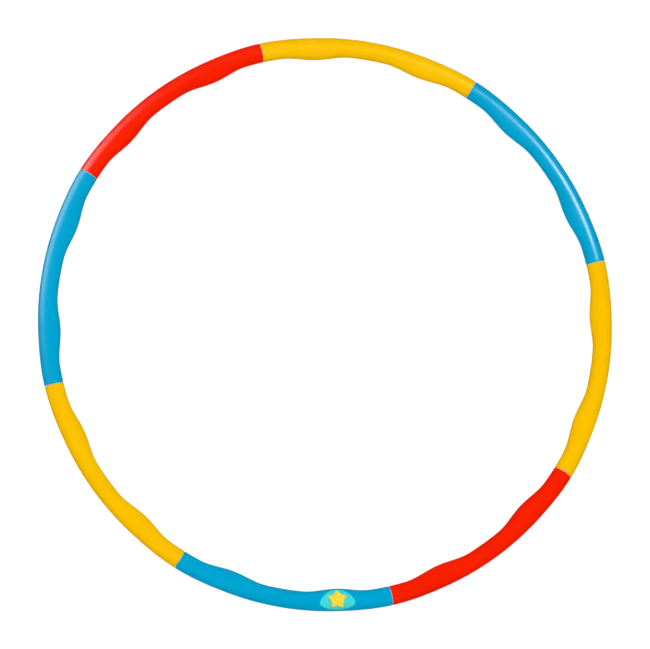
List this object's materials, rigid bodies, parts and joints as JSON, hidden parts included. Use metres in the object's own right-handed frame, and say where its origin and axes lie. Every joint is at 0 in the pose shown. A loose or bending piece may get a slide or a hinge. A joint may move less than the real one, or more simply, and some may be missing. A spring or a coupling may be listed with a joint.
{
  "type": "hula hoop",
  "caption": "Snap-together exercise hoop of curved, coloured, hollow plastic tube sections with smooth massage bumps on the inner side.",
  "frame": {"origin": "centre of the ring, level with the lowest point of its tube, where it lies on a floor", "axes": "+Z along the ring's axis, out of the front face that carries the label; +Y away from the label in the ring's plane; +X to the right when the front is seen with the label at the bottom"},
  "size_m": [0.72, 0.72, 0.024],
  "materials": {
    "blue_plastic": "satin",
    "yellow_plastic": "satin",
    "red_plastic": "satin",
    "connector_plastic": "satin",
    "clip_plastic": "satin",
    "label_vinyl": "gloss"
  },
  "bodies": {
    "section_1": {"tube_section_1": "blue_plastic", "connector_1": "connector_plastic"},
    "section_2": {"tube_section_2": "yellow_plastic", "connector_2": "connector_plastic"},
    "section_3": {"tube_section_3": "red_plastic", "connector_3": "connector_plastic"},
    "section_4": {"tube_section_4": "blue_plastic", "connector_4": "connector_plastic"},
    "section_5": {"tube_section_5": "yellow_plastic", "connector_5": "connector_plastic"},
    "section_6": {"tube_section_6": "blue_plastic", "connector_6": "connector_plastic", "label": "label_vinyl"},
    "section_7": {"tube_section_7": "red_plastic", "connector_7": "connector_plastic"},
    "section_8": {"tube_section_8": "yellow_plastic", "connector_8": "connector_plastic"},
    "button_1": {"snap_clip_1": "clip_plastic"},
    "button_2": {"snap_clip_2": "clip_plastic"},
    "button_3": {"snap_clip_3": "clip_plastic"},
    "button_4": {"snap_clip_4": "clip_plastic"},
    "button_5": {"snap_clip_5": "clip_plastic"},
    "button_6": {"snap_clip_6": "clip_plastic"},
    "button_7": {"snap_clip_7": "clip_plastic"},
    "button_8": {"snap_clip_8": "clip_plastic"}
  },
  "joints": [
    {"name": "pull_apart_1", "type": "slide", "parent": "section_1", "child": "section_2", "axis": [-0.8499, 0.527, 0], "range_m": [0, 0.034]},
    {"name": "pull_apart_2", "type": "slide", "parent": "section_2", "child": "section_3", "axis": [-0.9736, -0.2284, 0], "range_m": [0, 0.034]},
    {"name": "pull_apart_3", "type": "slide", "parent": "section_3", "child": "section_4", "axis": [-0.527, -0.8499, 0], "range_m": [0, 0.034]},
    {"name": "pull_apart_4", "type": "slide", "parent": "section_4", "child": "section_5", "axis": [0.2284, -0.9736, 0], "range_m": [0, 0.034]},
    {"name": "pull_apart_5", "type": "slide", "parent": "section_5", "child": "section_6", "axis": [0.8499, -0.527, 0], "range_m": [0, 0.034]},
    {"name": "pull_apart_6", "type": "slide", "parent": "section_6", "child": "section_7", "axis": [0.9736, 0.2284, 0], "range_m": [0, 0.034]},
    {"name": "pull_apart_7", "type": "slide", "parent": "section_7", "child": "section_8", "axis": [0.527, 0.8499, 0], "range_m": [0, 0.034]},
    {"name": "press_button_1", "type": "slide", "parent": "section_1", "child": "button_1", "axis": [0, 0, 1], "range_m": [0, 0.0027], "stiffness_N_per_m": 3000, "springref_m": -0.0015, "deforming": ["snap_clip_1"]},
    {"name": "press_button_2", "type": "slide", "parent": "section_2", "child": "button_2", "axis": [0, 0, 1], "range_m": [0, 0.0027], "stiffness_N_per_m": 3000, "springref_m": -0.0015, "deforming": ["snap_clip_2"]},
    {"name": "press_button_3", "type": "slide", "parent": "section_3", "child": "button_3", "axis": [0, 0, 1], "range_m": [0, 0.0027], "stiffness_N_per_m": 3000, "springref_m": -0.0015, "deforming": ["snap_clip_3"]},
    {"name": "press_button_4", "type": "slide", "parent": "section_4", "child": "button_4", "axis": [0, 0, 1], "range_m": [0, 0.0027], "stiffness_N_per_m": 3000, "springref_m": -0.0015, "deforming": ["snap_clip_4"]},
    {"name": "press_button_5", "type": "slide", "parent": "section_5", "child": "button_5", "axis": [0, 0, 1], "range_m": [0, 0.0027], "stiffness_N_per_m": 3000, "springref_m": -0.0015, "deforming": ["snap_clip_5"]},
    {"name": "press_button_6", "type": "slide", "parent": "section_6", "child": "button_6", "axis": [0, 0, 1], "range_m": [0, 0.0027], "stiffness_N_per_m": 3000, "springref_m": -0.0015, "deforming": ["snap_clip_6"]},
    {"name": "press_button_7", "type": "slide", "parent": "section_7", "child": "button_7", "axis": [0, 0, 1], "range_m": [0, 0.0027], "stiffness_N_per_m": 3000, "springref_m": -0.0015, "deforming": ["snap_clip_7"]},
    {"name": "press_button_8", "type": "slide", "parent": "section_8", "child": "button_8", "axis": [0, 0, 1], "range_m": [0, 0.0027], "stiffness_N_per_m": 3000, "springref_m": -0.0015, "deforming": ["snap_clip_8"]}
  ],
  "couplings": [
    {"joint": "pull_apart_2", "follows": "pull_apart_1", "ratio": 1},
    {"joint": "pull_apart_3", "follows": "pull_apart_1", "ratio": 1},
    {"joint": "pull_apart_4", "follows": "pull_apart_1", "ratio": 1},
    {"joint": "pull_apart_5", "follows": "pull_apart_1", "ratio": 1},
    {"joint": "pull_apart_6", "follows": "pull_apart_1", "ratio": 1},
    {"joint": "pull_apart_7", "follows": "pull_apart_1", "ratio": 1}
  ]
}
